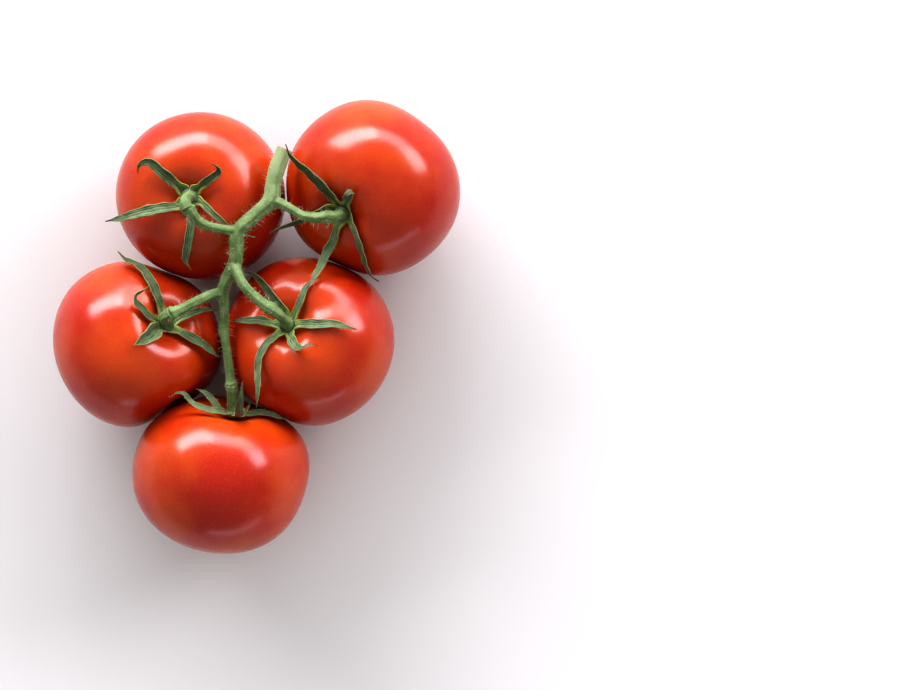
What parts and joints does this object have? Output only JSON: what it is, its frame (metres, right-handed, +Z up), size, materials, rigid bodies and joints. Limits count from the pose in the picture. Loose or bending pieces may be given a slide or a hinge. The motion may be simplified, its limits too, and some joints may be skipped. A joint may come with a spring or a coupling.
{
  "type": "truss of tomatoes",
  "caption": "Ripe round tomatoes still joined to one green vine by knuckled stalks, each under a star of curled sepals, lying flat.",
  "frame": {"origin": "middle of the footprint, on the surface that the tomatoes rest on", "axes": "+Z up, +Y along the vine towards its cut end, +X to the right seen from above with the cut end at the top"},
  "size_m": [0.1546, 0.172, 0.066],
  "materials": {
    "tomato_skin": "glossy orange-red skin with fine pale flecks",
    "stem": "matt green, finely hairy",
    "sepal": "matt dark green, paler edges, dry brown tips"
  },
  "bodies": {
    "root": {"vine": "stem", "stalk_1": "stem", "stalk_2": "stem", "stalk_3": "stem", "stalk_4": "stem", "stalk_5": "stem", "calyx_1": "sepal", "calyx_2": "sepal", "calyx_3": "sepal", "calyx_4": "sepal", "calyx_5": "sepal", "tomato_1": "tomato_skin", "tomato_2": "tomato_skin", "tomato_3": "tomato_skin", "tomato_4": "tomato_skin", "tomato_5": "tomato_skin"}
  },
  "joints": []
}
